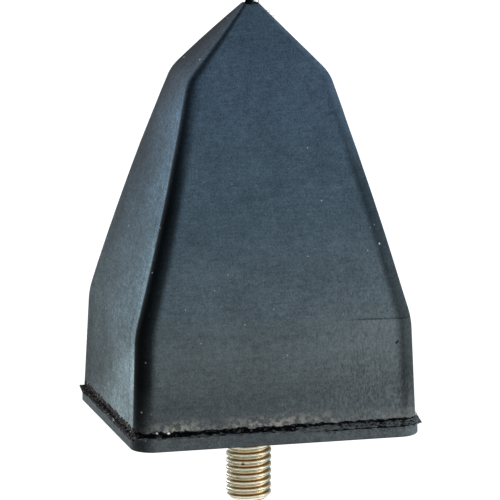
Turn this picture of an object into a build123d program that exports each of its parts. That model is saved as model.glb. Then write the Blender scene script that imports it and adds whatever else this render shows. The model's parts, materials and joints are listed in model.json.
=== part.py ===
from build123d import *
from dataclasses import dataclass
from math import radians, tan
import os

# Rubber buffer: a wedge-shaped rubber block moulded onto a steel base plate that holds a stud.
# Frame: the origin is the centre of the underside, +Z points up to the tip, X runs along the
# long side of the base and -Y is the broad front face. Sizes are in millimetres.

# Flange at the foot of the rubber
FLANGE_LENGTH = 51.1
FLANGE_WIDTH = 41.2
FLANGE_THICKNESS = 2.4
FLANGE_CORNER = 3.8
FLANGE_EDGE = 0.35

# Ledge that the flange leaves round the foot of the block
LEDGE_AT_ENDS = 0.4
LEDGE_AT_FACES = 1.3

# Upright lower part of the block, from the flange to the knee
FOOT_CORNER = 2.4
KNEE_HEIGHT = 20.1
END_DRAFT = 2.1
FACE_DRAFT = 3.0
KNEE_ROUNDING = 1.6

# Long taper, from the knee to the shoulder, with a gently crowned front and back
SHOULDER_HEIGHT = 61.5
SHOULDER_LENGTH = 25.4
SHOULDER_WIDTH = 13.9
SHOULDER_CORNER = 1.75
SHOULDER_ROUNDING = 1.3
TAPER_CROWN = 1.67

# Steep roof, from the shoulder to the small flat tip
TIP_HEIGHT = 73.2
TIP_LENGTH = 2.9
TIP_WIDTH = 2.4
TIP_CORNER = 0.6
ROOF_CROWN = 0.45

# Torn-off stub of rubber on the tip, where the mould was filled
NUB_LENGTH = 2.3
NUB_WIDTH = 1.6
NUB_HEIGHT = 1.0
NUB_TAPER = 12.0
NUB_SHIFT = -0.15

# Parting groove above the flange, where the mould halves met
GROOVE_HEIGHT = 0.5
GROOVE_DEPTH = 0.5

# Flash left at the ends of the flange: it stands out most at one corner and thins out from there
FRONT_FLASH_REACH = 1.15
FRONT_FLASH_FOOT = 1.0
FRONT_FLASH_LIP = 1.3
FRONT_FLASH_TOP = 3.5
FRONT_FLASH_RUN = 14.0
BACK_FLASH_REACH = 0.85
BACK_FLASH_FOOT = 1.3
BACK_FLASH_LIP = 3.0
BACK_FLASH_TOP = 3.2
BACK_FLASH_RUN = 34.0
FLASH_ROOT = 1.2
FLASH_FADE = 0.3

# Steel base plate, bonded flush into the underside
PLATE_THICKNESS = 2.0
PLATE_RIM = 1.5

# M8 stud with a plain neck pressed through the plate and a flat head on top of it
STUD_DIAMETER = 8.0
STUD_LENGTH = 14.5
STUD_CHAMFER = 1.0
NECK_DIAMETER = 9.0
NECK_CLEARANCE = 0.05
HEAD_DIAMETER = 16.0
HEAD_THICKNESS = 2.5
HEAD_CHAMFER = 0.5


@dataclass(frozen=True)
class Level:
    """One horizontal section of the block: a rounded rectangle at its height."""

    height: float
    length: float
    width: float
    corner: float

    def face(self):
        """Return the section as a flat face."""
        return Pos(0, 0, self.height) * RectangleRounded(self.length, self.width, self.corner)


@dataclass(frozen=True)
class Flash:
    """A tongue of flash on one end of the flange, highest at its start along Y."""

    side: int
    start: float
    run: float
    reach: float
    foot: float
    lip: float
    top: float

    def profile(self, along, share):
        """Return the tongue's section at a place along Y, at a share of its full size."""
        root = FLANGE_LENGTH / 2 - FLASH_ROOT
        wall = FLANGE_LENGTH / 2 - LEDGE_AT_ENDS
        lip = self.foot + share * (self.lip - self.foot)
        top = self.foot + share * (self.top - self.foot)
        outline = [(root, self.foot), (FLANGE_LENGTH / 2, self.foot)]
        outline += [(FLANGE_LENGTH / 2 + share * self.reach, lip), (wall, top), (root, top)]
        return Face(Wire.make_polygon([(self.side * x, along, z) for x, z in outline]))


FOOT = Level(
    height=FLANGE_THICKNESS,
    length=FLANGE_LENGTH - 2 * LEDGE_AT_ENDS,
    width=FLANGE_WIDTH - 2 * LEDGE_AT_FACES,
    corner=FOOT_CORNER,
)
KNEE = Level(
    height=KNEE_HEIGHT,
    length=FOOT.length - 2 * (KNEE_HEIGHT - FOOT.height) * tan(radians(END_DRAFT)),
    width=FOOT.width - 2 * (KNEE_HEIGHT - FOOT.height) * tan(radians(FACE_DRAFT)),
    corner=FOOT_CORNER,
)
SHOULDER = Level(SHOULDER_HEIGHT, SHOULDER_LENGTH, SHOULDER_WIDTH, SHOULDER_CORNER)
TIP = Level(TIP_HEIGHT, TIP_LENGTH, TIP_WIDTH, TIP_CORNER)

# The flange's corners begin this far from its middle
CORNER_START = FLANGE_WIDTH / 2 - FLANGE_CORNER
FRONT_FLASH = Flash(
    side=1,
    start=-CORNER_START,
    run=FRONT_FLASH_RUN,
    reach=FRONT_FLASH_REACH,
    foot=FRONT_FLASH_FOOT,
    lip=FRONT_FLASH_LIP,
    top=FRONT_FLASH_TOP,
)
BACK_FLASH = Flash(
    side=-1,
    start=CORNER_START,
    run=-BACK_FLASH_RUN,
    reach=BACK_FLASH_REACH,
    foot=BACK_FLASH_FOOT,
    lip=BACK_FLASH_LIP,
    top=BACK_FLASH_TOP,
)


def level_between(low, high, share, crown=0.0):
    """Return the section at a share of the way up, its front and back bulging by the crown."""
    bulge = 4 * share * (1 - share) * crown
    return Level(
        height=low.height + share * (high.height - low.height),
        length=low.length + share * (high.length - low.length),
        width=low.width + share * (high.width - low.width) + 2 * bulge,
        corner=low.corner + share * (high.corner - low.corner),
    )


def stage(low, high, start, end, crown=0.0, lofts=1):
    """Loft the part of a stage from one share of its height to another.

    A crowned stage is made of several short lofts, each of which meets the next without a crease.
    """
    steps = 3 if crown else 1
    block = Part()
    for piece in range(lofts):
        first = start + (end - start) * piece / lofts
        last = start + (end - start) * (piece + 1) / lofts
        shares = [first + (last - first) * step / steps for step in range(steps + 1)]
        block += loft([level_between(low, high, share, crown).face() for share in shares])
    return block


def bend(low, corner, high):
    """Loft a rounded bend between two levels, in place of the sharp corner between them."""
    steps = 3
    levels = []
    for step in range(steps + 1):
        share = step / steps
        near = level_between(low, corner, share)
        far = level_between(corner, high, share)
        levels.append(level_between(near, far, share))
    return loft([level.face() for level in levels])


def buffer_block():
    """Return the block above the flange: upright foot, long taper and steep roof."""
    foot_end = 1 - KNEE_ROUNDING / (KNEE.height - FOOT.height)
    taper_start = KNEE_ROUNDING / (SHOULDER.height - KNEE.height)
    taper_end = 1 - SHOULDER_ROUNDING / (SHOULDER.height - KNEE.height)
    roof_start = SHOULDER_ROUNDING / (TIP.height - SHOULDER.height)
    under_knee = level_between(FOOT, KNEE, foot_end)
    over_knee = level_between(KNEE, SHOULDER, taper_start, TAPER_CROWN)
    under_shoulder = level_between(KNEE, SHOULDER, taper_end, TAPER_CROWN)
    over_shoulder = level_between(SHOULDER, TIP, roof_start, ROOF_CROWN)
    block = stage(FOOT, KNEE, 0, foot_end)
    block += bend(under_knee, KNEE, over_knee)
    block += stage(KNEE, SHOULDER, taper_start, taper_end, TAPER_CROWN, lofts=4)
    block += bend(under_shoulder, SHOULDER, over_shoulder)
    block += stage(SHOULDER, TIP, roof_start, 1, ROOF_CROWN, lofts=2)
    return block


def flange():
    """Return the flange slab, its lower edge rounded."""
    slab = extrude(RectangleRounded(FLANGE_LENGTH, FLANGE_WIDTH, FLANGE_CORNER), FLANGE_THICKNESS)
    return fillet(slab.edges().group_by(Axis.Z)[0], FLANGE_EDGE)


def parting_groove():
    """Return the ring that is cut into the foot of the block, just above the flange."""
    inner = RectangleRounded(
        FOOT.length - 2 * GROOVE_DEPTH,
        FOOT.width - 2 * GROOVE_DEPTH,
        FOOT_CORNER - GROOVE_DEPTH,
    )
    ring = RectangleRounded(FLANGE_LENGTH, FLANGE_WIDTH, FLANGE_CORNER) - inner
    return Pos(0, 0, FLANGE_THICKNESS) * extrude(ring, GROOVE_HEIGHT)


def flash_tongue(flash):
    """Return the solid of one tongue of flash, thinning out along Y."""
    tall = flash.profile(flash.start, 1)
    thin = flash.profile(flash.start + flash.run, FLASH_FADE)
    return loft([tall, thin], ruled=True)


def upright_cylinder(diameter, low, high):
    """Return a cylinder on the Z axis between two heights."""
    align = (Align.CENTER, Align.CENTER, Align.MIN)
    return Pos(0, 0, low) * Cylinder(diameter / 2, high - low, align=align)


def sprue_nub():
    """Return the torn stub on the tip, rooted as deep in the rubber as it stands out."""
    outline = Pos(NUB_SHIFT, 0, TIP_HEIGHT - NUB_HEIGHT) * Ellipse(NUB_LENGTH / 2, NUB_WIDTH / 2)
    return extrude(outline, 2 * NUB_HEIGHT, taper=NUB_TAPER)


def plate_blank():
    """Return the plate without its hole, which is also the shape of its pocket in the rubber."""
    length = FLANGE_LENGTH - 2 * PLATE_RIM
    width = FLANGE_WIDTH - 2 * PLATE_RIM
    return extrude(RectangleRounded(length, width, FLANGE_CORNER - PLATE_RIM), PLATE_THICKNESS)


def base_plate():
    """Return the punched steel plate with the hole for the stud's neck."""
    return plate_blank() - upright_cylinder(NECK_DIAMETER + 2 * NECK_CLEARANCE, 0, PLATE_THICKNESS)


def threaded_stud():
    """Return the stud: chamfered shank below the plate, neck through it and head on top."""
    shank = upright_cylinder(STUD_DIAMETER, -STUD_LENGTH, 0)
    shank = chamfer(shank.edges().group_by(Axis.Z)[0], STUD_CHAMFER)
    neck = upright_cylinder(NECK_DIAMETER, 0, PLATE_THICKNESS)
    head = upright_cylinder(HEAD_DIAMETER, PLATE_THICKNESS, PLATE_THICKNESS + HEAD_THICKNESS)
    head = chamfer(head.edges().group_by(Axis.Z)[-1], HEAD_CHAMFER)
    return shank + neck + head


def rubber_body():
    """Return the rubber moulding, with the pockets that the plate and the stud's head fill."""
    body = flange() + buffer_block() - parting_groove()
    body += flash_tongue(FRONT_FLASH) + flash_tongue(BACK_FLASH) + sprue_nub()
    return body - plate_blank() - threaded_stud()


os.makedirs("parts", exist_ok=True)
export_step(rubber_body(), "parts/rubber_body.step")
export_step(base_plate(), "parts/base_plate.step")
export_step(threaded_stud(), "parts/threaded_stud.step")
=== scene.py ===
import json
import logging
from abc import ABC, abstractmethod
from collections.abc import Callable
from dataclasses import dataclass
from enum import Enum
from functools import cached_property, reduce
from math import atan2, cos, pi, prod, radians, sin, tan

import bmesh
import bpy
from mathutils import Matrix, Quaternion, Vector

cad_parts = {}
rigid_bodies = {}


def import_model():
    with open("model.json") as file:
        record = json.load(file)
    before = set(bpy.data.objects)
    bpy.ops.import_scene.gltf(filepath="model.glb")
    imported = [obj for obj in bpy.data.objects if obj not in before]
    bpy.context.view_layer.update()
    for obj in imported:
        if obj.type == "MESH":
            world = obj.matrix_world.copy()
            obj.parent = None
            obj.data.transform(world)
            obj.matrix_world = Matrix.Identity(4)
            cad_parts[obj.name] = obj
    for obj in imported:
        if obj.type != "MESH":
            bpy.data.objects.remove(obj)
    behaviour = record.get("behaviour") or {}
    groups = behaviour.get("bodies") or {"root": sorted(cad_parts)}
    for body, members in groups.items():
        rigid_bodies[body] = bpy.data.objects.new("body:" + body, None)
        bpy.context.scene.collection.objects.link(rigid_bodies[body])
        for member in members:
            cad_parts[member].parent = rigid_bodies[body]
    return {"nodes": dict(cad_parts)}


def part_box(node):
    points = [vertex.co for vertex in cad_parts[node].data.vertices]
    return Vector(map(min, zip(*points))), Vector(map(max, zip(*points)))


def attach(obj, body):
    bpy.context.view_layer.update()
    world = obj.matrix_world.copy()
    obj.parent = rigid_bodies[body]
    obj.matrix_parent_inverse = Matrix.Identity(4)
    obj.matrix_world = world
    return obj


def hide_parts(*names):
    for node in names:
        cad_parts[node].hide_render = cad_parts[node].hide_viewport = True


# Looks of a rubber buffer: a tapered block of black moulded rubber on a flanged foot, with a yellow
# zinc-plated stud below it. Pieces are shaped in millimetres and scaled to metres when they are done.

bpy.data.batch_remove(bpy.data.objects)
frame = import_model()
log = logging.getLogger("rubber_buffer")

MM = 0.001
# Places this close, in millimetres, count as the same
NEAR = 0.012
X, Y, Z = range(3)
# Edges of a rounded corner, turns of a rounded edge and sides of a round piece
CORNER_COLUMNS = 10
EDGE_TURNS = (0.0, radians(30), radians(60), radians(90))
ROUND_SIDES = 96
# Stretch of a noise texture's values that holds nearly all of them
NOISE_LOW, NOISE_HIGH = 0.3, 0.7
WHITE = (1.0, 1.0, 1.0, 1.0)
# Point attributes that carry the zones from the mesh to its finish
ZONE_NAMES = ("corner", "end_face", "behind", "torn")

Piece = bpy.types.Object
Socket = bpy.types.NodeSocket
Place = tuple[float, float, float]


class Pick(Enum):
    """The kind of element that an edit-mode selection is made of."""

    POINTS = "VERT"
    EDGES = "EDGE"
    FACES = "FACE"


class End(Enum):
    """An end of the foot, by the sign of its X."""

    LEFT = -1
    RIGHT = 1


@dataclass(frozen=True)
class Fade:
    """A stretch of one measure over which a level changes from its first to its last value."""

    begin: float
    end: float
    first: float = 0.0
    last: float = 1.0

    def at(self, value: float) -> float:
        """Return the level at a value of the measure, with a smooth change along the stretch."""
        share = min(max((value - self.begin) / (self.end - self.begin), 0.0), 1.0)
        return self.first + (self.last - self.first) * share * share * (3 - 2 * share)


# Fades that bound a patch of the surface, each with its axis
Patch = tuple[tuple[int, Fade], ...]


def within(patch: Patch, point: Vector) -> float:
    """Return how far a point lies in a patch, which is 1 in its middle."""
    return prod(fade.at(point[axis]) for axis, fade in patch)


def linear(code: str) -> tuple[float, float, float, float]:
    """Turn an sRGB hex colour into linear red, green, blue and a full alpha.

    Args:
        code: the colour as "#rrggbb".

    Returns:
        The four channels, from 0 to 1.
    """
    channels = [int(code[start:start + 2], 16) / 255 for start in (1, 3, 5)]
    red, green, blue = (c / 12.92 if c <= 0.04045 else ((c + 0.055) / 1.055) ** 2.4 for c in channels)
    return red, green, blue, 1.0


def pick(kind: Pick, test: Callable[[Vector, Vector], bool], among: bool = False) -> None:
    """Select the elements of the mesh in edit mode that pass a test, and nothing else.

    Args:
        kind: points, edges or faces.
        test: called with an element's centre and its normal, or for an edge its run from end to end.
        among: test only what is selected already.
    """
    bpy.ops.mesh.select_mode(type=kind.value)
    data = bpy.context.object.data
    mesh = bmesh.from_edit_mesh(data)
    elements = {Pick.POINTS: mesh.verts, Pick.EDGES: mesh.edges, Pick.FACES: mesh.faces}[kind]
    chosen = [element for element in elements if (element.select or not among) and test(*place_of(element))]
    bpy.ops.mesh.select_all(action="DESELECT")
    for element in chosen:
        element.select_set(True)
    bmesh.update_edit_mesh(data)


def place_of(element: bmesh.types.BMVert | bmesh.types.BMEdge | bmesh.types.BMFace) -> tuple[Vector, Vector]:
    """Return where an element is and which way it faces or runs.

    Args:
        element: a point, an edge or a face.

    Returns:
        Its centre, and its normal or, for an edge, its run from end to end.
    """
    if isinstance(element, bmesh.types.BMVert):
        return element.co, element.normal
    if isinstance(element, bmesh.types.BMEdge):
        first, last = (point.co for point in element.verts)
        return (first + last) / 2, last - first
    return element.calc_center_median(), element.normal


def pick_rings(*numbers: int) -> None:
    """Select the points of some rings, and nothing else.

    Args:
        numbers: the rings' vertex groups.
    """
    bpy.ops.mesh.select_mode(type="VERT")
    bpy.ops.mesh.select_all(action="DESELECT")
    for number in numbers:
        bpy.context.object.vertex_groups.active_index = number
        bpy.ops.object.vertex_group_select()


def only(piece: Piece) -> None:
    """Make a piece the active object and the only one selected.

    Args:
        piece: the piece.
    """
    bpy.ops.object.select_all(action="DESELECT")
    piece.select_set(True)
    bpy.context.view_layer.objects.active = piece


def edit(piece: Piece) -> None:
    """Open a piece in edit mode with all of it selected.

    Args:
        piece: the piece, in object mode.
    """
    only(piece)
    bpy.ops.object.mode_set(mode="EDIT")
    bpy.ops.mesh.select_all(action="SELECT")


def start_piece(name: str) -> Piece:
    """Name the primitive that was just added, apply its place and turn, and open it in edit mode.

    Args:
        name: the piece's name.

    Returns:
        The piece, with all of it selected.
    """
    piece = bpy.context.object
    piece.name = name
    only(piece)
    bpy.ops.object.transform_apply(location=True, rotation=True, scale=True)
    edit(piece)
    return piece


def start_rod(
    name: str, radius: float, low: float, high: float, x: float = 0.0, sides: int = ROUND_SIDES
) -> Piece:
    """Add an upright cylinder and open it in edit mode.

    Args:
        name: the piece's name.
        radius: its radius.
        low: the height of its lower end.
        high: the height of its upper end.
        x: how far its axis lies to the right of the stud's.
        sides: how many flat sides stand for its round one.

    Returns:
        The piece, with all of it selected.
    """
    middle = (x, 0, (low + high) / 2)
    bpy.ops.mesh.primitive_cylinder_add(vertices=sides, radius=radius, depth=high - low, location=middle)
    return start_piece(name)


def end_piece() -> None:
    """Turn the faces of the mesh in edit mode outwards and go back to object mode."""
    bpy.ops.mesh.select_all(action="SELECT")
    bpy.ops.mesh.normals_make_consistent(inside=False)
    bpy.ops.object.mode_set(mode="OBJECT")


def finish_modifier(piece: Piece, kind: str, **settings) -> None:
    """Give a piece a modifier with these settings and apply it.

    Args:
        piece: the piece that it shapes.
        kind: the modifier's type, such as "DISPLACE".
        settings: the modifier's own properties.
    """
    only(piece)
    modifier = piece.modifiers.new(kind.lower(), kind)
    for name, value in settings.items():
        setattr(modifier, name, value)
    bpy.ops.object.modifier_apply(modifier=modifier.name)


def roughen(
    piece: Piece,
    grain: float,
    travel: float,
    where: Patch = (),
    axis: str = "NORMAL",
    rest: float = 0.5,
) -> None:
    """Push a piece's surface in and out with a cloudy noise.

    Args:
        piece: the piece, in object mode and in millimetres.
        grain: the size of a lump, in millimetres.
        travel: the way from the deepest to the highest point, in millimetres.
        where: the patch that takes part. Without one, all of the piece does.
        axis: the direction of the travel, as the modifier names it.
        rest: the share of the travel that goes inwards. At 1 nothing is pushed out.
    """
    noise = bpy.data.textures.new(f"{piece.name}_grain", "CLOUDS")
    noise.noise_scale = grain
    noise.noise_depth = 2
    zone = piece.vertex_groups.new(name="zone")
    for point in piece.data.vertices:
        zone.add([point.index], within(where, point.co), "REPLACE")
    finish_modifier(
        piece,
        "DISPLACE",
        texture=noise,
        texture_coords="LOCAL",
        strength=travel,
        mid_level=rest,
        direction=axis,
        vertex_group=zone.name,
    )
    piece.vertex_groups.clear()


def tear_up(piece: Piece, grain: float, travel: float, voxel: float = 0.16) -> None:
    """Give a small piece an even mesh and a torn, lumpy surface, hollowed out more than raised.

    Args:
        piece: the piece, in millimetres.
        grain: the size of the larger lumps; the small ones are a third of it.
        travel: how far the larger lumps stand out of the hollows.
        voxel: the size of the mesh's faces.
    """
    mostly_inwards = 0.8
    finish_modifier(piece, "REMESH", mode="VOXEL", voxel_size=voxel)
    roughen(piece, grain, travel, rest=mostly_inwards)
    roughen(piece, grain / 3, travel / 2, rest=mostly_inwards)


def merge_into(piece: Piece, other: Piece, operation: str = "UNION") -> None:
    """Join another solid to a piece, or cut with it, and remove it.

    Args:
        piece: the piece that stays.
        other: the solid that is used up.
        operation: "UNION", "DIFFERENCE" or "INTERSECT".
    """
    finish_modifier(piece, "BOOLEAN", operation=operation, object=other, solver="MANIFOLD")
    bpy.data.objects.remove(other)


def drop_crumbs(piece: Piece) -> None:
    """Delete the loose crumbs that cutting and joining leave round a piece, and its empty faces.

    Args:
        piece: the piece, in millimetres. The shell with its highest point stays.
    """
    top = max(point.co.z for point in piece.data.vertices)
    edit(piece)
    pick(Pick.POINTS, lambda point, normal: point.z > top - NEAR)
    bpy.ops.mesh.select_linked()
    bpy.ops.mesh.select_all(action="INVERT")
    bpy.ops.mesh.delete(type="VERT")
    bpy.ops.mesh.select_all(action="SELECT")
    bpy.ops.mesh.dissolve_degenerate(threshold=NEAR / 20)
    end_piece()


def to_metres(piece: Piece, sharpest: float) -> None:
    """Scale a finished piece from millimetres to metres and shade it smooth.

    Args:
        piece: the piece. Its object is left unscaled at the origin.
        sharpest: edges that turn by more than this many degrees stay crisp.
    """
    only(piece)
    piece.scale = (MM, MM, MM)
    bpy.ops.object.transform_apply(location=True, rotation=True, scale=True)
    bpy.ops.object.shade_smooth_by_angle(angle=radians(sharpest))


def box_of(node: str) -> tuple[Vector, Vector]:
    """Return the lowest and highest corners of a node's box in millimetres."""
    low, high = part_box(node)
    return low / MM, high / MM


def size_of(node: str) -> Vector:
    """Return the size of a node's box in millimetres."""
    low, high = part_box(node)
    return (high - low) / MM


@dataclass(frozen=True)
class Level:
    """One horizontal section of the moulding: a rounded rectangle at its height, in millimetres."""

    height: float
    length: float
    width: float
    corner: float

    def toward(self, other: "Level", share: float, crown: float = 0.0) -> "Level":
        """Return the section at a share of the way to another.

        Args:
            other: the level at the far end.
            share: 0 for this level and 1 for the other.
            crown: how far front and back each bulge at the middle of the way.

        Returns:
            The level between them.
        """
        bulge = 4 * share * (1 - share) * crown
        return Level(
            height=self.height + share * (other.height - self.height),
            length=self.length + share * (other.length - self.length),
            width=self.width + share * (other.width - self.width) + 2 * bulge,
            corner=self.corner + share * (other.corner - self.corner),
        )

    def between(self, other: "Level", first: float, last: float, steps: int, crown: float) -> list["Level"]:
        """Return evenly spaced sections of the way to another, without the first and the last.

        Args:
            other: the level at the far end.
            first: the share of the way at which the steps begin.
            last: the share at which they end.
            steps: how many steps there are.
            crown: how far front and back each bulge at the middle of the way.

        Returns:
            The sections, one fewer than the steps.
        """
        return [self.toward(other, first + (last - first) * step / steps, crown) for step in range(1, steps)]

    def bend(self, corner: "Level", high: "Level") -> list["Level"]:
        """Return the sections of a rounded bend from this level to a high one, this one left out.

        Args:
            corner: the sharp corner that it rounds off.
            high: where it ends.

        Returns:
            The sections from low to high.
        """
        shares = (0.25, 0.5, 0.75, 1.0)
        return [self.toward(corner, share).toward(corner.toward(high, share), share) for share in shares]

    def inset(self, depth: float, height: float) -> "Level":
        """Return this section drawn in by a depth on every side, at another height."""
        return Level(height, self.length - 2 * depth, self.width - 2 * depth, self.corner - depth)


@dataclass(frozen=True)
class Skin:
    """A closed skin over a stack of sections, with the length of its faces along the sides."""

    name: str
    levels: tuple[Level, ...]
    column: float

    def build(self) -> Piece:
        """Make a ring at every level, bridge each to the one before and close both ends.

        Returns:
            The closed piece, in millimetres.
        """
        widest = max(self.levels, key=lambda level: level.length)
        columns = [round((side - 2 * widest.corner) / self.column) for side in (widest.length, widest.width)]
        piece = None
        for number, level in enumerate(self.levels):
            if piece:
                bpy.ops.mesh.select_all(action="DESELECT")
            bpy.ops.mesh.primitive_plane_add(size=1, location=(0, 0, level.height))
            piece = piece or start_piece(self.name)
            self.shape_ring(level, number, columns)
            if number:
                pick_rings(number - 1, number)
                bpy.ops.mesh.bridge_edge_loops()
        for number in (0, len(self.levels) - 1):
            pick_rings(number)
            bpy.ops.mesh.edge_face_add()
        end_piece()
        piece.vertex_groups.clear()
        finish_modifier(piece, "SUBSURF", subdivision_type="SIMPLE", levels=1, render_levels=1)
        return piece

    @staticmethod
    def shape_ring(level: Level, number: int, columns: list[int]) -> None:
        """Turn the selected plane into the level's ring of edges.

        Args:
            level: the section that the ring follows.
            number: the vertex group that the ring becomes.
            columns: how many edges the long and the wide sides are cut into.
        """
        middle, longest_in_corner = (0, 0, level.height), 0.99 * level.corner
        bpy.ops.transform.resize(value=(level.length, level.width, 1), center_override=middle)
        bpy.ops.mesh.bevel(offset=level.corner, segments=CORNER_COLUMNS, affect="VERTICES")
        bpy.context.object.vertex_groups.new(name=f"ring_{number}")
        bpy.context.object.vertex_groups.active_index = number
        bpy.ops.object.vertex_group_assign()
        bpy.ops.mesh.delete(type="ONLY_FACE")
        for axis, count in enumerate(columns):
            pick_rings(number)
            pick(Pick.EDGES, lambda centre, run: abs(run[axis]) > longest_in_corner, among=True)
            bpy.ops.mesh.subdivide(number_cuts=count - 1)


@dataclass(frozen=True)
class Tongue:
    """A torn tongue of flash on one end of the flange, tallest at its start. Lengths in millimetres."""

    name: str
    end: End
    start: float
    run: float
    reach: float
    foot: float
    lip: float
    top: float
    tear: float = 0.3
    fade: float = 0.3
    root: float = 1.2
    grain: float = 0.9

    def build(self, rim: float, wall: float) -> Piece:
        """Shape the tongue's outline, draw it out along the flange and tear its surface.

        Args:
            rim: how far the flange's end lies from the middle.
            wall: how far the block's wall lies from the middle.

        Returns:
            The closed tongue, in millimetres.
        """
        side = self.end.value
        inner = rim - self.root
        centre = Vector((side * (inner + rim) / 2, self.start, (self.foot + self.top) / 2))
        bpy.ops.mesh.primitive_plane_add(size=1, location=centre, rotation=(pi / 2, 0, 0))
        piece = start_piece(self.name)
        bpy.ops.transform.resize(value=(rim - inner, 1, self.top - self.foot), center_override=centre)
        pick(Pick.EDGES, lambda middle, run: side * middle.x > rim - NEAR)
        bpy.ops.mesh.subdivide(number_cuts=1)
        pick(Pick.POINTS, lambda point, normal: side * point.x > rim - NEAR and point.z > self.top - NEAR)
        bpy.ops.transform.translate(value=(side * (wall - rim), 0, 0))
        pick(Pick.POINTS, lambda point, normal: side * point.x > rim - NEAR and point.z > centre.z - NEAR)
        bpy.ops.transform.translate(value=(side * self.reach, 0, self.lip - centre.z))
        pick(Pick.FACES, lambda middle, normal: True)
        bpy.ops.mesh.extrude_region_move(TRANSFORM_OT_translate={"value": (0, self.run, 0)})
        thin_end = (side * inner, self.start + self.run, self.foot)
        bpy.ops.transform.resize(value=(self.fade, 1, self.fade), center_override=thin_end)
        end_piece()
        tear_up(piece, self.grain, self.tear)
        return piece


@dataclass(frozen=True)
class Zones:
    """Where the moulding's finish changes. Heights and places are in millimetres.

    A corner's turn is 0 at the end face, 1 at the front or back, and more on that face beyond the corner.
    """

    levels: tuple[Level, ...]
    crevice_height: float
    # Painted shade of the rounded corners: where it begins off the end face and ends on the front or back,
    # how it changes with height, and its weaker share on the right
    off_end: Fade = Fade(0.0, 0.15)
    off_front: Fade = Fade(0.9, 1.55, 1.0, 0.0)
    corner_shade_by_height: tuple[Fade, ...] = (
        Fade(3.0, 9.0, 0.4, 1.0),
        Fade(20.0, 34.0, 1.0, 0.92),
        Fade(40.0, 62.0, 1.0, 0.272),
        Fade(58.5, 70.2, 1.0, 0.0),
    )
    right_corner_shade: float = 0.8
    right_front: Patch = ((X, Fade(3.0, 10.0)), (Y, Fade(-17.0, -18.0)))
    # Black in the groove over the flange, which is torn rubber and painted shade of the groove together
    gap_floor: float = 2.2
    gap_floor_rise: float = 0.3
    gap_edge: float = 0.2
    gap_reach: Fade = Fade(-11.0, -17.0, 0.45, 0.95)
    before_tongue: Fade = Fade(24.8, 25.3, 1.0, 0.0)
    # Painted shade along the crevice in the right of the front
    crevice_shade_edge: Fade = Fade(0.04, 0.14, 1.0, 0.0)
    blotches: Patch = ((Z, Fade(0.9, 1.6, 0.0, 0.36)), (Z, Fade(2.4, 2.7, 1.0, 0.0)))
    left_strip: Patch = (
        (X, Fade(-24.6, -25.0)),
        (Y, Fade(-19.5, -17.0)),
        (Z, Fade(1.3, 1.9)),
        (Z, Fade(3.6, 4.3, 1.0, 0.0)),
    )
    tip_edge: float = 0.1

    def section_at(self, height: float) -> Level:
        """Return the block's section at a height.

        Args:
            height: the height over the underside.

        Returns:
            The section between the two levels beside it, or carried on from the last two.
        """
        last = len(self.levels) - 1
        above = next((number for number, level in enumerate(self.levels) if level.height >= height), last)
        low, high = self.levels[max(above - 1, 0)], self.levels[above]
        climb = high.height - low.height
        return low.toward(high, (height - low.height) / climb if climb > 0 else 0.0)

    def at(self, point: Vector) -> tuple[float, float, float, float]:
        """Return where a point of the moulding lies, as the finish needs it.

        Args:
            point: a place on the moulding.

        Returns:
            How far it takes the painted shade of a rounded corner, how far it lies on an end face, its share
            of the way from the front to the back, and how far it is black: torn rubber, and painted shade in
            the groove and the crevice.
        """
        torn = self.torn_and_shade_at(point)
        if point.z < self.levels[0].height:
            return 0.0, 0.0, 0.0, torn
        here = self.section_at(point.z)
        across = abs(point.x) - here.length / 2 + here.corner
        along = abs(point.y) - here.width / 2 + here.corner
        behind = (point.y + here.width / 2) / here.width
        if along <= 0:
            return 0.0, 1.0, behind, torn
        turned = atan2(along, across) / (pi / 2) if across > 0 else 1 - across / here.corner
        # The corner's share of the painted shade, weaker on the right and changing with height
        off_end = self.off_end.at(turned)
        corner = off_end * self.off_front.at(turned) * (1.0 if point.x < 0 else self.right_corner_shade)
        corner *= prod(fade.at(point.z) for fade in self.corner_shade_by_height)
        return corner, 1 - off_end, behind, torn

    def torn_and_shade_at(self, point: Vector) -> float:
        """Return how far a point is black: torn rubber, and painted shade in the groove and the crevice.

        Args:
            point: a place on the moulding.

        Returns:
            The level, which rises in the groove, on the flash and on the tip's stub.
        """
        gap_top, tip = self.levels[0].height, self.levels[-1].height
        right = within(self.right_front, point)
        floor = self.gap_floor + self.gap_floor_rise * right
        torn_and_shaded_gap = Fade(floor, floor + self.gap_edge).at(point.z)
        torn_and_shaded_gap *= Fade(gap_top, gap_top + self.gap_reach.at(point.x), 1.0, 0.0).at(point.z)
        return max(
            torn_and_shaded_gap * self.before_tongue.at(point.x),
            right * self.crevice_shade_edge.at(abs(point.z - self.crevice_height)),
            right * within(self.blotches, point),
            within(self.left_strip, point),
            Fade(tip - self.tip_edge, tip + self.tip_edge).at(point.z),
        )


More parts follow.
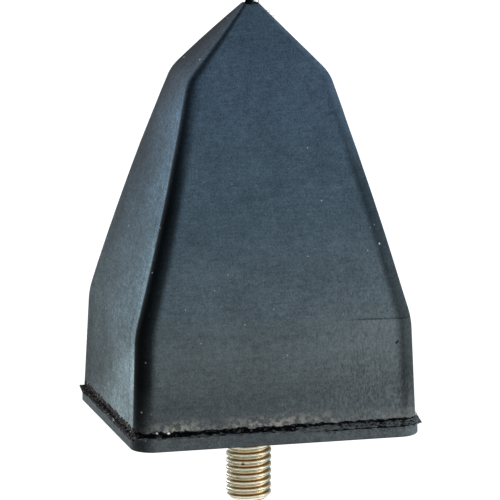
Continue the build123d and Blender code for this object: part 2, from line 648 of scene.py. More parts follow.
@dataclass
class RubberMoulding:
    """The rubber block on its flanged foot, with its flash and its torn tip. Lengths in millimetres."""

    rim: float = 1.5
    flange_thickness: float = 2.4
    flange_corner: float = 3.8
    flange_edge: float = 0.35
    flange_rows: tuple[float, ...] = (0.8, 1.2, 1.5, 1.8, 2.2)
    ledge_rows: tuple[float, ...] = (0.35, 0.7)
    ledge_at_ends: float = 0.4
    ledge_at_faces: float = 1.3
    ledge_rise: float = 0.08
    groove_height: float = 0.5
    groove_depth: float = 0.5
    root_height: float = 3.0
    crevice_height: float = 2.0
    crevice_depth: float = 0.35
    crevice_start: float = 4.0
    front_band: float = 0.3
    foot_corner: float = 2.4
    lip_height: float = 1.2
    knee_height: float = 20.1
    end_draft: float = 2.1
    face_draft: float = 3.0
    knee_rounding: float = 1.6
    shoulder: Level = Level(height=61.5, length=25.4, width=13.9, corner=1.75)
    shoulder_rounding: float = 1.3
    taper_crown: float = 1.67
    taper_steps: int = 12
    tip_length: float = 2.9
    tip_width: float = 2.4
    tip_corner: float = 0.6
    roof_crown: float = 0.45
    roof_steps: int = 6
    nub_height: float = 1.0
    nub_radius: float = 0.9
    nub_shift: float = -0.15

    def __post_init__(self) -> None:
        """Work the main sections out from the frame."""
        plate = size_of("base_plate")
        length, width = plate.x + 2 * self.rim, plate.y + 2 * self.rim
        self.plate = Level(plate.z, plate.x, plate.y, self.flange_corner - self.rim)
        self.flange = Level(self.flange_thickness, length, width, self.flange_corner)
        self.foot = Level(
            height=self.flange_thickness,
            length=length - 2 * self.ledge_at_ends,
            width=width - 2 * self.ledge_at_faces,
            corner=self.foot_corner,
        )
        climb = self.knee_height - self.foot.height
        self.knee = Level(
            height=self.knee_height,
            length=self.foot.length - 2 * climb * tan(radians(self.end_draft)),
            width=self.foot.width - 2 * climb * tan(radians(self.face_draft)),
            corner=self.foot_corner,
        )
        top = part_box("rubber_body")[1].z / MM
        self.tip = Level(top - self.nub_height, self.tip_length, self.tip_width, self.tip_corner)

    def block_levels(self) -> tuple[Level, ...]:
        """Lay out the block.

        Returns:
            Its sections from the groove over the flange up to the flat tip.
        """
        foot, knee, shoulder, tip = self.foot, self.knee, self.shoulder, self.tip
        upright, taper = knee.height - foot.height, shoulder.height - knee.height
        first, last = self.knee_rounding / taper, 1 - self.shoulder_rounding / taper
        under_knee = foot.toward(knee, 1 - self.knee_rounding / upright)
        over_knee = knee.toward(shoulder, first, self.taper_crown)
        under_shoulder = knee.toward(shoulder, last, self.taper_crown)
        roof_start = self.shoulder_rounding / (tip.height - shoulder.height)
        over_shoulder = shoulder.toward(tip, roof_start, self.roof_crown)
        return (
            foot.toward(knee, self.groove_height / upright),
            foot.toward(knee, (self.groove_height + self.lip_height) / upright),
            under_knee,
            *under_knee.bend(knee, over_knee),
            *knee.between(shoulder, first, last, self.taper_steps, self.taper_crown),
            under_shoulder,
            *under_shoulder.bend(shoulder, over_shoulder),
            *shoulder.between(tip, roof_start, 1.0, self.roof_steps, self.roof_crown),
            tip,
        )

    def flange_levels(self) -> tuple[Level, ...]:
        """Lay out the flange.

        Returns:
            Its sections from the underside over its edge and ledge to inside the block.
        """
        edge, top = self.flange_edge, self.flange_thickness
        wall = self.foot.inset(self.groove_depth, top + self.ledge_rise)
        rim = self.flange.inset(edge / 3, top - self.ledge_rise)
        rows = sorted((*self.flange_rows, self.crevice_height))
        return (
            *(self.flange.inset(edge * (1 - sin(turn)), edge * (1 - cos(turn))) for turn in EDGE_TURNS),
            *(self.flange.inset(0, height) for height in rows),
            rim,
            *(rim.toward(wall, share) for share in self.ledge_rows),
            wall,
            wall.inset(0, top + self.groove_height),
            wall.inset(self.groove_depth, top + self.root_height),
        )

    def flange_piece(self) -> Piece:
        """Build the flange with its torn ledge.

        Returns:
            The flange, with a crevice and rough rubber on the right of its front, in millimetres.
        """
        piece = Skin("flange", self.flange_levels(), column=0.6).build()
        front = -self.flange.width / 2
        edit(piece)
        pick(
            Pick.POINTS,
            lambda point, normal: point.y < front + self.front_band
            and point.x > self.crevice_start
            and abs(point.z - self.crevice_height) < NEAR,
        )
        bpy.ops.transform.translate(value=(0, self.crevice_depth, 0))
        end_piece()
        sides = ((Z, Fade(0.1, 0.5)),)
        rough = ((Y, Fade(front + 1.0, front)), (X, Fade(2.0, 9.0)), (Z, Fade(0.9, 1.4)))
        ledge = ((Z, Fade(1.7, 2.35)),)
        roughen(piece, grain=1.2, travel=0.1, where=sides, rest=1.0)
        roughen(piece, grain=0.7, travel=0.45, where=rough, rest=1.0)
        roughen(piece, grain=0.9, travel=0.4, where=ledge, axis="Z", rest=0.6)
        return piece

    def torn_tip(self) -> list[Piece]:
        """Build the torn rubber at the top.

        Returns:
            The stub on the tip, the curl beside it and two on the roof's ridge, in millimetres.
        """
        tip, rise = self.tip.height, self.nub_height
        middle = (self.nub_shift, 0, tip)
        oval, narrow_top = (1.3, 1, 1), (0.75, 0.6, 1)
        curl_tilt, curl_thickness = (radians(80), 0, radians(-20)), 0.35
        stub = start_rod("stub", self.nub_radius, tip - rise, tip + rise, x=self.nub_shift, sides=24)
        bpy.ops.transform.resize(value=oval, center_override=middle)
        pick(Pick.FACES, lambda centre, normal: normal.z > 0.9)
        bpy.ops.transform.resize(value=narrow_top, center_override=middle)
        end_piece()
        tear_up(stub, grain=0.6, travel=0.4, voxel=0.08)
        pieces = [stub]
        for name, place, radius in (
            ("tip_curl", (1.05, -0.25, tip + 0.3), 0.34),
            ("high_curl", (2.65, -1.75, 71.95), 0.26),
            ("low_curl", (3.35, -2.05, 71.15), 0.22),
        ):
            bpy.ops.mesh.primitive_torus_add(
                major_radius=radius,
                minor_radius=curl_thickness * radius,
                major_segments=20,
                minor_segments=8,
                location=place,
                rotation=curl_tilt,
            )
            curl = start_piece(name)
            end_piece()
            roughen(curl, grain=0.4, travel=0.1, rest=1.0)
            pieces.append(curl)
        return pieces

    def scraps(self) -> Piece:
        """Build the ragged strip of flash along the right of the front ledge.

        Returns:
            The strip, in millimetres.
        """
        front = -self.flange.width / 2
        low, high = Vector((6.5, front + 0.25, 2.1)), Vector((24.3, front + 1.3, 2.75))
        middle, thin_end = (low + high) / 2, (1, 0.3, 0.3)
        bpy.ops.mesh.primitive_cube_add(size=1, location=middle)
        piece = start_piece("scraps")
        bpy.ops.transform.resize(value=high - low, center_override=middle)
        pick(Pick.FACES, lambda centre, normal: normal.x < -0.9)
        bpy.ops.transform.resize(value=thin_end, center_override=(low.x, high.y, low.z))
        end_piece()
        tear_up(piece, grain=0.9, travel=0.5)
        return piece

    def tongues(self) -> list[Piece]:
        """Build the flash on the ends of the flange.

        Returns:
            The two tongues of flash, in millimetres.
        """
        start = self.flange.width / 2 - self.flange.corner
        right, left = End.RIGHT, End.LEFT
        front = Tongue("front_tongue", right, -start, 14.0, reach=1.15, foot=1.0, lip=1.3, top=3.9, tear=0.2)
        back = Tongue("back_tongue", left, start, -34.0, reach=0.8, foot=1.3, lip=3.0, top=3.2)
        return [tongue.build(self.flange.length / 2, self.foot.length / 2) for tongue in (front, back)]

    def pockets(self) -> list[Piece]:
        """Build the solids that cut the pockets of the plate and of the stud's head.

        Returns:
            The two solids, in millimetres.
        """
        below = self.plate.inset(0, -1)
        plate_cutter = Skin("plate_pocket", (below, self.plate), column=self.plate.width).build()
        head = box_of("threaded_stud")[1]
        head_cutter = start_rod("head_pocket", head.x, self.plate.height / 2, head.z)
        end_piece()
        return [plate_cutter, head_cutter]

    def build(self) -> Piece:
        """Build the whole moulding and write its zones on its points.

        Returns:
            The piece that stands for the rubber body, in metres.
        """
        levels = self.block_levels()
        body = Skin("rubber_moulding", levels, column=1.0).build()
        roughen(body, grain=6.0, travel=0.1)
        groove_top = self.foot.height + self.groove_height
        lip = Fade(self.foot.height, groove_top + self.lip_height / 2, 1.0, 0.0)
        roughen(body, grain=1.1, travel=0.5, where=((Z, lip),), axis="Z")
        for part in (self.flange_piece(), *self.tongues(), self.scraps(), *self.torn_tip()):
            merge_into(body, part)
        for cutter in self.pockets():
            merge_into(body, cutter, "DIFFERENCE")
        drop_crumbs(body)
        zones = Zones(levels, self.crevice_height)
        values = zip(*(zones.at(point.co) for point in body.data.vertices))
        for name, column in zip(ZONE_NAMES, values):
            body.data.attributes.new(name, "FLOAT", "POINT").data.foreach_set("value", column)
        to_metres(body, sharpest=40)
        return body


@dataclass
class ThreadedStud:
    """An M8 stud with a rolled right-hand thread, its neck in the plate and its head in the rubber."""

    pitch: float = 1.25
    root_radius: float = 3.26
    crest_radius: float = 3.94
    flank: Fade = Fade(0.15, 0.57)
    blank_radius: float = 4.0
    chamfer: float = 1.0
    neck_radius: float = 4.5
    head_chamfer: float = 0.5
    start: float = -0.28
    steps: int = 72
    cuts: int = 15

    def __post_init__(self) -> None:
        """Take the stud's length, its head and its neck from the frame."""
        low, high = box_of("threaded_stud")
        self.end, self.head_top, self.head_radius = low.z, high.z, high.x
        self.plate_thickness = size_of("base_plate").z

    def radius_at(self, share: float) -> float:
        """Return the thread's radius at a share of one pitch, with a root at 0 and 1 and a crest at 0.5."""
        depth = self.crest_radius - self.root_radius
        return self.crest_radius - depth * self.flank.at(abs(share - 0.5) * self.pitch)

    def thread(self) -> Piece:
        """Draw one pitch of the thread's profile, turn it up a helix and cut it off at both ends.

        Returns:
            The threaded rod, in millimetres.
        """
        at_root = (self.root_radius, 0, self.pitch / 2)
        bpy.ops.mesh.primitive_plane_add(size=self.pitch, location=at_root, rotation=(pi / 2, 0, 0))
        piece = start_piece("threaded_stud_rolled")
        pick(Pick.POINTS, lambda point, normal: point.x > self.root_radius)
        bpy.ops.mesh.delete(type="VERT")
        bpy.ops.mesh.select_all(action="SELECT")
        bpy.ops.transform.translate(value=(self.pitch / 2, 0, 0))
        bpy.ops.mesh.subdivide(number_cuts=self.cuts)
        for number in range(1, self.cuts + 1):
            share = number / (self.cuts + 1)
            pick(Pick.POINTS, lambda point, normal: abs(point.z - share * self.pitch) < NEAR)
            bpy.ops.transform.translate(value=(self.radius_at(share) - self.root_radius, 0, 0))
        turns_above, turns_below = 3, 2
        turns = int(-self.end / self.pitch) + turns_above + turns_below
        bpy.ops.mesh.select_all(action="SELECT")
        bpy.ops.transform.translate(value=(0, 0, self.start + (turns_above - turns) * self.pitch))
        bpy.ops.object.mode_set(mode="OBJECT")
        turning = {"iterations": turns, "steps": self.steps, "render_steps": self.steps}
        finish_modifier(piece, "SCREW", screw_offset=self.pitch, **turning)
        edit(piece)
        bpy.ops.mesh.remove_doubles(threshold=NEAR / 4)
        for height, outward in ((self.end, (0, 0, -1)), (self.plate_thickness / 4, (0, 0, 1))):
            bpy.ops.mesh.select_all(action="SELECT")
            bpy.ops.mesh.bisect(plane_co=(0, 0, height), plane_no=outward, use_fill=True, clear_outer=True)
        end_piece()
        return piece

    def blank(self) -> Piece:
        """Build the rod that the thread was rolled on, which trims the thread's end.

        Returns:
            The chamfered rod, in millimetres.
        """
        piece = start_rod("blank", self.blank_radius, self.end, self.plate_thickness / 2)
        pick(Pick.EDGES, lambda centre, run: centre.z < self.end + NEAR and abs(run.z) < NEAR)
        bpy.ops.mesh.bevel(offset=self.chamfer, segments=1, affect="EDGES")
        end_piece()
        return piece

    def neck_and_head(self) -> Piece:
        """Build the part of the stud that is hidden in the plate and the rubber.

        Returns:
            The neck and the head in one piece, in millimetres.
        """
        plate = self.plate_thickness
        piece = start_rod("neck", self.neck_radius, 0, plate)
        pick(Pick.FACES, lambda centre, normal: normal.z > 0.9)
        bpy.ops.mesh.extrude_region_move()
        wider = self.head_radius / self.neck_radius
        bpy.ops.transform.resize(value=(wider, wider, 1), center_override=(0, 0, plate))
        bpy.ops.mesh.extrude_region_move(TRANSFORM_OT_translate={"value": (0, 0, self.head_top - plate)})
        pick(Pick.EDGES, lambda centre, run: centre.z > self.head_top - NEAR)
        bpy.ops.mesh.bevel(offset=self.head_chamfer, segments=1, affect="EDGES")
        end_piece()
        return piece

    def build(self) -> Piece:
        """Build the whole stud.

        Returns:
            The piece that stands for the stud, in metres.
        """
        stud = self.thread()
        merge_into(stud, self.blank(), "INTERSECT")
        merge_into(stud, self.neck_and_head())
        to_metres(stud, sharpest=35)
        return stud


@dataclass(frozen=True)
class Cloud:
    """A cloudy noise: the size of its lumps in millimetres, its finer detail and its contrast."""

    size: float | Place
    detail: float
    contrast: Fade = Fade(0.0, 1.0)


@dataclass(frozen=True)
class Nodes:
    """The shader nodes of one material or of the surroundings, and what their patterns are made of."""

    tree: bpy.types.NodeTree

    @cached_property
    def place(self) -> Socket:
        """Return the place on the piece, in millimetres."""
        metres = self.add("ShaderNodeTexCoord").outputs["Object"]
        return self.add("ShaderNodeVectorMath", {0: metres, "Scale": 1 / MM}, operation="SCALE").outputs[0]

    @cached_property
    def axes(self) -> bpy.types.bpy_prop_collection:
        """Return the X, Y and Z of the place."""
        return self.add("ShaderNodeSeparateXYZ", {0: self.place}).outputs

    def give(self, node: bpy.types.Node, inputs: dict) -> None:
        """Link or set a node's inputs.

        Args:
            node: the node.
            inputs: for an input's name or number, the socket that it is linked from or its plain value.
        """
        for key, value in inputs.items():
            if isinstance(value, Socket):
                self.tree.links.new(value, node.inputs[key])
            else:
                node.inputs[key].default_value = value

    def add(self, kind: str, inputs: dict | None = None, **settings) -> bpy.types.Node:
        """Add a node.

        Args:
            kind: its type, such as "ShaderNodeMath".
            inputs: what its inputs get.
            settings: its own properties.

        Returns:
            The new node.
        """
        node = self.tree.nodes.new(kind)
        for name, value in settings.items():
            setattr(node, name, value)
        self.give(node, inputs or {})
        return node

    def maths(self, operation: str, *values: Socket | float) -> Socket:
        """Return the result of a sum with these values, such as "MULTIPLY"."""
        return self.add("ShaderNodeMath", dict(enumerate(values)), operation=operation).outputs[0]

    def product(self, *factors: Socket) -> Socket:
        """Return the factors multiplied together."""
        return reduce(lambda total, factor: self.maths("MULTIPLY", total, factor), factors)

    def beside(self, value: Socket, middle: float) -> Socket:
        """Return how far a value lies from a middle, to either side."""
        return self.maths("ABSOLUTE", self.maths("SUBTRACT", value, middle))

    def remap(self, value: Socket, *ends: Socket | float, smooth: bool = False) -> Socket:
        """Return a level that changes as a value runs along a stretch.

        Args:
            value: the measure that the level follows.
            ends: where the change begins and ends, and the level before and after it.
            smooth: ease the change in and out.

        Returns:
            The level.
        """
        inputs = {"Value": value} | dict(zip(("From Min", "From Max", "To Min", "To Max"), ends))
        easing = "SMOOTHSTEP" if smooth else "LINEAR"
        return self.add("ShaderNodeMapRange", inputs, interpolation_type=easing).outputs["Result"]

    def fade(self, value: Socket, fade: Fade, smooth: bool = False) -> Socket:
        """Return a fade's level at a value of its measure."""
        return self.remap(value, fade.begin, fade.end, fade.first, fade.last, smooth=smooth)

    def within(self, patch: Patch, smooth: bool = False) -> Socket:
        """Return how far the place lies in a patch, which is 1 in its middle."""
        return self.product(*(self.fade(self.axes[axis], fade, smooth) for axis, fade in patch))

    def cloud(self, cloud: Cloud) -> Socket:
        """Return a cloud's level at the place.

        Args:
            cloud: the cloud. Its lumps are stretched where it has a size for each axis.

        Returns:
            The level.
        """
        place, size = self.place, cloud.size
        if isinstance(size, tuple):
            scale = tuple(1 / side for side in size)
            place = self.add("ShaderNodeMapping", {"Vector": place, "Scale": scale}).outputs["Vector"]
            size = 1.0
        inputs = {"Vector": place, "Scale": 1 / size, "Detail": cloud.detail}
        return self.fade(self.add("ShaderNodeTexNoise", inputs).outputs["Fac"], cloud.contrast)

    def spot(self, middle: Place, radius: float) -> Socket:
        """Return 1 on one small spot, which fades out from half its radius."""
        away = self.add("ShaderNodeVectorMath", {0: self.place, 1: middle}, operation="DISTANCE")
        return self.remap(away.outputs["Value"], radius, radius / 2, 0.0, 1.0)

    def ramp(self, share: Socket, stops: tuple[tuple[float, str], ...]) -> Socket:
        """Return a colour out of a row of them.

        Args:
            share: where in the row it lies.
            stops: the share and the code of each colour in the row.

        Returns:
            The colour.
        """
        node = self.add("ShaderNodeValToRGB", {"Fac": share})
        elements = node.color_ramp.elements
        for number, (position, code) in enumerate(stops):
            element = elements[number] if number < 2 else elements.new(1.0)
            element.position = position
            element.color = linear(code)
        return node.outputs["Color"]

    def blend(self, share: Socket, under: Socket | tuple, over: Socket | tuple, mode: str = "MIX") -> Socket:
        """Return a colour with another over it. Inputs 6 and 7 of a Mix node are its two colours."""
        inputs = {0: share, 6: under, 7: over}
        return self.add("ShaderNodeMix", inputs, data_type="RGBA", blend_type=mode).outputs[2]

    def seen_as(self, hidden: float, seen: float) -> Socket:
        """Return a level that depends on how a ray meets the surface.

        Args:
            hidden: the level for rays that only light other surfaces.
            seen: the level for rays from the camera, and off or through a glossy or clear surface.

        Returns:
            The level.
        """
        path = self.add("ShaderNodeLightPath").outputs
        shown = self.maths("MAXIMUM", path["Is Camera Ray"], path["Is Glossy Ray"])
        shown = self.maths("MAXIMUM", shown, path["Is Transmission Ray"])
        return self.remap(shown, 0.0, 1.0, hidden, seen)


class Finish(ABC):
    """A finish of a piece, which paints its material by place. Places and sizes are in millimetres."""

    name: str

    def material(self) -> bpy.types.Material:
        """Make the finish's material.

        Returns:
            The material, with the inputs of its surface shader set.
        """
        made = bpy.data.materials.new(self.name)
        made.use_nodes = True
        nodes = Nodes(made.node_tree)
        nodes.give(made.node_tree.nodes["Principled BSDF"], self.paint(nodes))
        return made

    @abstractmethod
    def paint(self, nodes: Nodes) -> dict:
        """Return what the surface shader's inputs get.

        Args:
            nodes: the material's nodes.

        Returns:
            A socket or a plain value for each input that the finish sets.
        """


@dataclass(frozen=True)
class MouldedRubber(Finish):
    """Natural rubber filled with carbon black, moulded in a milled mould.

    A dry, blue-grey bloom lies on the faces and scatters the light. It is rubbed and dusty towards the foot,
    and missing where flash was torn off, so that the rubber's own black shows. The colour also holds painted
    light and shade: dark rounded corners, lighter and darker end faces, a partly darker and bluer top, a
    dark crease, a dark groove and crevice, a highlight on the front tongue and glints in the groove.
    """

    name: str = "moulded_natural_rubber"
    tallest: float = 75.0
    # Bloom colour by height; its darker, bluer top is partly a painted reflection on the curving upper faces
    bloom: tuple[tuple[float, str], ...] = (
        (2.4, "#52595c"),
        (8.0, "#4c5457"),
        (16.0, "#596468"),
        (24.0, "#505e66"),
        (40.0, "#455763"),
        (62.0, "#415365"),
        (74.0, "#3b4c5a"),
    )
    torn: str = "#08090b"
    # Painted shade of the rounded corners
    nick_and_corner_shade: str = "#000000"
    dust: str = "#a19f96"
    rubbed: str = "#7b8488"
    speck: str = "#b9c6cc"
    # Nicks and scratches of the front and the corners, a painted highlight on the front tongue and painted
    # glints in the front groove
    marks: tuple[tuple[Place, float, str], ...] = (
        ((21.26, -18.57, 16.39), 0.3, "#1d2326"),
        ((21.5, -18.55, 16.6), 0.25, "#262d30"),
        ((18.78, -16.15, 33.46), 0.2, "#a9bcc6"),
        ((17.3, -15.4, 36.2), 0.2, "#7e929d"),
        ((18.1, -15.5, 36.7), 0.22, "#748893"),
        # Painted highlight on the top of the front tongue
        ((25.5, -16.9, 3.5), 0.9, "#b4c6ce"),
        # Two painted glints in the groove at the front left
        ((-19.3, -19.2, 2.9), 0.34, "#f4f8f9"),
        ((-21.35, -19.26, 3.14), 0.26, "#b5c0c4"),
        ((-21.2, -15.5, 30.5), 0.2, "#eef2f4"),
        ((-23.9, -18.6, 6.85), 0.2, "#eef2f4"),
    )
    # Unevenness of the bloom, as factors near 1: clouds, mottle, grain and level streaks
    unevenness: tuple[Cloud, ...] = (
        Cloud(8.0, 3.0, Fade(NOISE_LOW, NOISE_HIGH, 0.88, 1.12)),
        Cloud(1.1, 3.0, Fade(NOISE_LOW, NOISE_HIGH, 0.87, 1.13)),
        Cloud(0.3, 3.0, Fade(NOISE_LOW, NOISE_HIGH, 0.74, 1.26)),
        Cloud((2.5, 2.5, 0.35), 2.0, Fade(0.35, 0.7, 0.92, 1.1)),
    )
    # Bloom of the end faces, with painted light and shade: by the share of the way to the back and by
    # height, lighter towards the front and darker towards the back, with a painted lighter wedge from the
    # knee to the foot, a painted darker roof and a darker line along the parting line
    end_tint: tuple[float, float, float, float] = (0.91, 1.0, 1.02, 1.0)
    end_contrast: float = 0.9
    end_front: float = 0.05
    end_back: float = 0.85
    front_light_level: float = 1.5
    back_shade_level: Fade = Fade(20.0, 45.0, 0.5, 0.25)
    wedge_reach: Fade = Fade(2.0, 18.0, 0.95, 0.1)
    lit_wedge_level: Fade = Fade(-0.15, 0.42, 1.0, 2.4)
    roof_shade_level: Fade = Fade(56.0, 63.0, 1.0, 0.45)
    parting_line: float = 0.14
    parting_level: Fade = Fade(0.004, 0.012, 0.72, 1.0)
    # Painted shade on the rounded corners, which stands in for their dark reflection
    corner_shade_share: Fade = Fade(0.0, 1.0, 0.0, 0.87)
    # Rubbed lower right of the broad faces, in short upright streaks, and a paler patch under the knee
    rub_zone: Patch = ((Z, Fade(46.0, 12.0)), (X, Fade(0.0, 17.0, 0.1, 0.5)))
    rub_streaks: Cloud = Cloud((0.35, 0.35, 0.7), 3.0, Fade(0.4, 0.66))
    over_gap: Fade = Fade(2.8, 3.4)
    pale_patch: Patch = ((Z, Fade(20.7, 20.4)), (Z, Fade(11.0, 20.0, 0.0, 0.2)), (X, Fade(11.0, 15.0)))
    # Dust on the torn lower edge of the front
    dust_zone: Patch = (
        (Z, Fade(5.5, 3.5, 0.0, 0.9)),
        (Y, Fade(-17.5, -18.5)),
        (Z, Fade(2.8, 3.1)),
        (X, Fade(2.0, 12.0, 1.0, 0.4)),
    )
    dust_speckle: Cloud = Cloud(0.7, 4.0, Fade(0.42, 0.62))
    dust_patches: Cloud = Cloud(7.0, 1.0, Fade(0.3, 0.52))
    # Painted dark shade of a crease along the right of the front's knee, which drops a little to the right
    crease_slope: float = 0.026
    crease_height: float = 21.16
    crease_edge: Fade = Fade(0.2, 0.08)
    crease_zone: Patch = ((X, Fade(12.0, 15.0)), (Y, Fade(-16.0, -17.0, 0.0, 0.45)))
    # Sparse pale specks, and the ragged border of the torn zones
    speck_spacing: float = 3.0
    speck_edge: Fade = Fade(0.05, 0.03, 0.0, 0.6)
    ragged: Cloud = Cloud(1.0, 4.0, Fade(0.0, 1.0, 0.0, 2.2))
    torn_edge: Fade = Fade(1.62, 1.75)
    # Small facets of the torn rubber glint, and the bloom hardly shines
    facets: Cloud = Cloud(0.5, 2.0, Fade(0.6, 0.68))
    roughness: Fade = Fade(0.0, 1.0, 0.75, 0.3)
    specular: Fade = Fade(0.0, 1.0, 0.02, 0.35)
    grain: Cloud = Cloud(0.3, 3.0)
    relief: Fade = Fade(0.0, 1.0, 0.3, 1.0)
    relief_depth: float = 0.15

    def end_face_light(self, nodes: Nodes, end_face: Socket, behind: Socket) -> Socket:
        """Return the painted light and shade on the end faces.

        Args:
            nodes: the material's nodes.
            end_face: how far a place lies on an end face.
            behind: its share of the way from the front to the back.

        Returns:
            The level, which is 1 away from the end faces.
        """
        height = nodes.axes[Z]
        back = nodes.fade(height, self.back_shade_level)
        in_lit_wedge = nodes.maths("SUBTRACT", nodes.fade(height, self.wedge_reach), behind)
        level = nodes.product(
            nodes.remap(behind, self.end_front, self.end_back, self.front_light_level, back),
            nodes.fade(in_lit_wedge, self.lit_wedge_level, smooth=True),
            nodes.fade(height, self.roof_shade_level),
            nodes.fade(nodes.beside(behind, self.parting_line), self.parting_level),
        )
        return nodes.remap(end_face, 0.0, 1.0, 1.0, level)

    def rubbing(self, nodes: Nodes) -> Socket:
        """Return how far the bloom is rubbed.

        Args:
            nodes: the material's nodes.

        Returns:
            The share of the rubbed colour.
        """
        zone, over_gap = nodes.within(self.rub_zone, smooth=True), nodes.fade(nodes.axes[Z], self.over_gap)
        streaked = nodes.product(zone, nodes.cloud(self.rub_streaks), over_gap)
        return nodes.maths("ADD", streaked, nodes.within(self.pale_patch))

    def dusting(self, nodes: Nodes) -> Socket:
        """Return how far a place is covered with dust."""
        speckle, patches = nodes.cloud(self.dust_speckle), nodes.cloud(self.dust_patches)
        return nodes.product(nodes.within(self.dust_zone), speckle, patches)

    def crease(self, nodes: Nodes) -> Socket:
        """Return how far a place lies on the painted shade of the crease.

        Args:
            nodes: the material's nodes.

        Returns:
            The share of the crease's shade.
        """
        line = nodes.maths("MULTIPLY_ADD", nodes.axes[X], self.crease_slope, nodes.axes[Z])
        on_line = nodes.fade(nodes.beside(line, self.crease_height), self.crease_edge)
        return nodes.product(on_line, nodes.within(self.crease_zone))

    def specks(self, nodes: Nodes) -> Socket:
        """Return how far a place lies on one of the pale specks."""
        inputs = {"Vector": nodes.place, "Scale": 1 / self.speck_spacing, "Randomness": 1.0}
        return nodes.fade(nodes.add("ShaderNodeTexVoronoi", inputs).outputs["Distance"], self.speck_edge)

    def paint(self, nodes: Nodes) -> dict:
        """Lay the bloom on by height and zone with painted light and shade, and wear, dust, painted corner
        and crease shade, specks, tears and marks over it.

        Args:
            nodes: the material's nodes.

        Returns:
            A socket or a plain value for each input that the finish sets.
        """
        corner, end_face, behind, zone = (
            nodes.add("ShaderNodeAttribute", attribute_name=name).outputs["Fac"] for name in ZONE_NAMES
        )
        uneven = nodes.product(*(nodes.cloud(cloud) for cloud in self.unevenness))
        level = nodes.maths("POWER", uneven, nodes.maths("MULTIPLY_ADD", end_face, self.end_contrast, 1.0))
        # Painted light and shade on the end faces
        level = nodes.product(level, self.end_face_light(nodes, end_face, behind))
        stops = tuple((height / self.tallest, code) for height, code in self.bloom)
        colour = nodes.ramp(nodes.remap(nodes.axes[Z], 0.0, self.tallest, 0.0, 1.0), stops)
        colour = nodes.add("ShaderNodeHueSaturation", {"Value": level, "Color": colour}).outputs["Color"]
        colour = nodes.blend(end_face, colour, self.end_tint, "MULTIPLY")
        # The torn black also carries painted shade in the groove and the crevice
        torn = nodes.fade(nodes.maths("ADD", nodes.cloud(self.ragged), zone), self.torn_edge)
        for share, code in (
            (self.rubbing(nodes), self.rubbed),
            (self.dusting(nodes), self.dust),
            # Painted shade on the rounded corners
            (nodes.fade(corner, self.corner_shade_share), self.nick_and_corner_shade),
            # Painted shade of the knee's crease, in the torn rubber's black
            (self.crease(nodes), self.torn),
            (self.specks(nodes), self.speck),
            (torn, self.torn),
            *((nodes.spot(middle, radius), code) for middle, radius, code in self.marks),
        ):
            colour = nodes.blend(share, colour, linear(code))
        glint = nodes.product(torn, nodes.cloud(self.facets))
        grain, strength = nodes.cloud(self.grain), nodes.fade(torn, self.relief)
        bump = {"Height": grain, "Strength": strength, "Distance": self.relief_depth * MM}
        return {
            "Base Color": colour,
            "Roughness": nodes.fade(glint, self.roughness),
            "Specular IOR Level": nodes.fade(glint, self.specular),
            "Normal": nodes.add("ShaderNodeBump", bump).outputs["Normal"],
        }


@dataclass(frozen=True)
class YellowZinc(Finish):
    """Steel with zinc plate and yellow chromate in cream and gold, with painted brown shade and painted
    grey-green reflections on the thread and its sides.
    """

    pitch: float
    start: float
    name: str = "yellow_zinc_plated_steel"
    # Gold and cream from one root to a grey-green painted reflection at the crest, then cream and a brown
    # painted shade before the next root
    # Painted shade and reflection of the thread by the share of a pitch
    profile: tuple[tuple[float, str], ...] = (
        (0.0, "#c9b283"),
        (0.06, "#f6f1de"),
        (0.38, "#f6f1de"),
        (0.42, "#565b42"),
        (0.5, "#565b42"),
        (0.54, "#f6f1de"),
        (0.7, "#f6f1de"),
        (0.76, "#6e4e26"),
        (0.92, "#6e4e26"),
        (0.98, "#c9b283"),
    )
    # Grey-green of the cloudy film stains, and of a painted dark reflection on the stud's left and right
    # sides
    green: str = "#565b42"
    nick_and_corner_shade: str = "#2e2418"
    nick: Place = (-1.91, -3.45, -7.72)
    nick_radius: float = 0.4
    stain: Cloud = Cloud(2.0, 3.0, Fade(0.5, 0.75, 0.0, 0.5))
    # Painted dark reflection on the sides as the camera sees them: their direction across the view, the
    # shift of their middle and their fade
    reflection_side: Place = (0.966, -0.258, 0.0)
    reflection_shift: float = 0.2
    reflection_on_sides: Fade = Fade(2.2, 3.8, 0.0, 0.8)
    # The chromate film scatters a little of the light
    metal: float = 0.88
    roughness: float = 0.36

    def paint(self, nodes: Nodes) -> dict:
        """Wind the colours with their painted shade and reflection up the thread, put a painted dark
        reflection and cloudy stains on its sides, and darken one nick.

        Args:
            nodes: the material's nodes.

        Returns:
            A socket or a plain value for each input that the finish sets.
        """
        x, y, z = nodes.axes
        turns = nodes.maths("DIVIDE", nodes.maths("ARCTAN2", y, x), 2 * pi)
        pitches = nodes.maths("MULTIPLY_ADD", z, 1 / self.pitch, -self.start / self.pitch)
        phase = nodes.maths("FRACT", nodes.maths("SUBTRACT", pitches, turns))
        inputs = {0: nodes.place, 1: self.reflection_side}
        side = nodes.add("ShaderNodeVectorMath", inputs, operation="DOT_PRODUCT")
        # Painted dark reflection on the sides, with the cloudy film stains over it
        side_reflection = nodes.fade(nodes.beside(side.outputs["Value"], self.reflection_shift), self.reflection_on_sides)
        stain_and_side_reflection = nodes.maths("MAXIMUM", side_reflection, nodes.cloud(self.stain))
        colour = nodes.blend(stain_and_side_reflection, nodes.ramp(phase, self.profile), linear(self.green))
        nicked = nodes.spot(self.nick, self.nick_radius)
        colour = nodes.blend(nicked, colour, linear(self.nick_and_corner_shade))
        return {"Base Color": colour, "Metallic": self.metal, "Roughness": self.roughness}


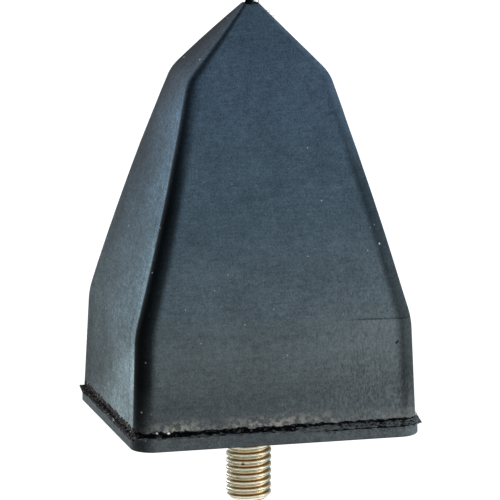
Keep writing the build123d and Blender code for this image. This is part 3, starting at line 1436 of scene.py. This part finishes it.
@dataclass(frozen=True)
class PlateZinc(Finish):
    """Punched sheet steel with dull zinc plate, whose fine spangle gives soft grey patches."""

    name: str = "zinc_plated_sheet_steel"
    light: str = "#b9b6a4"
    dark: str = "#8c8a7c"
    spangle: Cloud = Cloud(3.0, 4.0, Fade(0.35, 0.65))
    roughness: float = 0.42

    def paint(self, nodes: Nodes) -> dict:
        """Blend two greys in soft patches."""
        colour = nodes.blend(nodes.cloud(self.spangle), linear(self.dark), linear(self.light))
        return {"Base Color": colour, "Metallic": 1.0, "Roughness": self.roughness}


@dataclass(frozen=True)
class WhitePaint(Finish):
    """Matt white paint of the floor. It glows where it is seen, so that it shows only a faint shadow."""

    name: str = "matt_white_paint"
    grey: float = 0.35
    glow: float = 0.85

    def paint(self, nodes: Nodes) -> dict:
        """Add a glow, which shows directly and in reflections, to a plain grey.

        Args:
            nodes: the material's nodes.

        Returns:
            A socket or a plain value for each input that the finish sets.
        """
        return {
            "Base Color": (self.grey, self.grey, self.grey, 1.0),
            "Roughness": 1.0,
            "Specular IOR Level": 0.0,
            "Emission Color": WHITE,
            "Emission Strength": nodes.seen_as(0.0, self.glow),
        }


def dress(piece: Piece, finish: Finish) -> None:
    """Give every face of a piece one finish."""
    piece.data.materials.clear()
    piece.data.materials.append(finish.material())


def bearing(azimuth: float, elevation: float) -> Vector:
    """Return the unit vector away from the object at these angles in degrees, with the front at 0."""
    turn, rise = radians(azimuth), radians(elevation)
    return Vector((sin(turn) * cos(rise), -cos(turn) * cos(rise), sin(rise)))


@dataclass(frozen=True)
class Lamp:
    """A soft square lamp that points at the middle of the object. Lengths in metres, angles in degrees."""

    name: str
    azimuth: float
    elevation: float
    distance: float
    size: float
    level: float

    def place(self, target: Vector) -> None:
        """Hang the lamp and turn it to its target. At a level of 1 it alone lights a white card to white.

        Args:
            target: the place that it points at.
        """
        away = bearing(self.azimuth, self.elevation)
        bpy.ops.object.light_add(type="AREA", location=target + away * self.distance)
        lamp = bpy.context.object
        lamp.name = self.name
        lamp.rotation_euler = (-away).to_track_quat("-Z", "Y").to_euler()
        lamp.data.energy = self.level * (pi * self.distance) ** 2
        lamp.data.size = self.size


@dataclass(frozen=True)
class Studio:
    """A white floor, soft lamps, white surroundings and the camera at the photograph's angle.

    Lengths are in metres, but for the lens and the sensor, which are in millimetres.
    """

    aim: Place = (0.00185, 0.00654, 0.02796)
    azimuth: float = -14.94
    elevation: float = 13.65
    roll: float = 0.233
    distance: float = 1.5679
    lens: float = 650.6
    sensor: float = 36.0
    nearest: float = 0.05
    farthest: float = 50.0
    floor_size: float = 12.0
    ambient: float = 0.08
    lamps: tuple[Lamp, ...] = (
        Lamp("front_lamp", azimuth=62, elevation=12, distance=0.9, size=0.5, level=1.6),
        Lamp("left_lamp", azimuth=-150, elevation=12, distance=0.8, size=0.4, level=1.75),
    )

    def surroundings(self) -> None:
        """Make the world white where it is seen and a plain, even light elsewhere."""
        world = bpy.data.worlds.new("surroundings")
        world.use_nodes = True
        bpy.context.scene.world = world
        nodes = Nodes(world.node_tree)
        strength = nodes.seen_as(self.ambient, 1.0)
        nodes.give(world.node_tree.nodes["Background"], {"Color": WHITE, "Strength": strength})

    def floor(self) -> None:
        """Lay the floor under the end of the stud."""
        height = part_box("threaded_stud")[0].z
        bpy.ops.mesh.primitive_plane_add(size=self.floor_size, location=(0, 0, height))
        floor = bpy.context.object
        floor.name = "floor"
        dress(floor, WhitePaint())

    def camera(self) -> None:
        """Set the camera where the photograph was taken from."""
        back = bearing(self.azimuth, self.elevation)
        bpy.ops.object.camera_add(location=Vector(self.aim) + back * self.distance)
        camera = bpy.context.object
        level = (-back).to_track_quat("-Z", "Y")
        camera.rotation_euler = (level @ Quaternion((0, 0, 1), radians(self.roll))).to_euler()
        camera.data.lens = self.lens
        camera.data.sensor_width = self.sensor
        camera.data.clip_start = self.nearest
        camera.data.clip_end = self.farthest
        bpy.context.scene.camera = camera

    def build(self) -> None:
        """Set up everything round the object."""
        bpy.context.scene.view_settings.view_transform = "Standard"
        self.surroundings()
        self.floor()
        for lamp in self.lamps:
            lamp.place(Vector(self.aim))
        self.camera()


def main() -> None:
    """Build every piece, dress it and report it."""
    logging.basicConfig(level=logging.INFO, format="%(name)s: %(message)s")
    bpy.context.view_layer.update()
    moulding = RubberMoulding().build()
    dress(moulding, MouldedRubber())
    rolled = ThreadedStud()
    stud = rolled.build()
    dress(stud, YellowZinc(rolled.pitch, rolled.start))
    for piece, node, slot in (
        (moulding, "rubber_body", "black_rubber"),
        (stud, "threaded_stud", "yellow_zinc_steel"),
    ):
        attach(piece, "root")
        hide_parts(node)
        log.info("%s: %d faces", piece.name, len(piece.data.polygons))
    plate = frame["nodes"]["base_plate"]
    plate.material_slots[0].material = PlateZinc().material()
    log.info("base_plate: the packed mesh with its own finish")
    Studio().build()


if __name__ == "__main__":
    main()
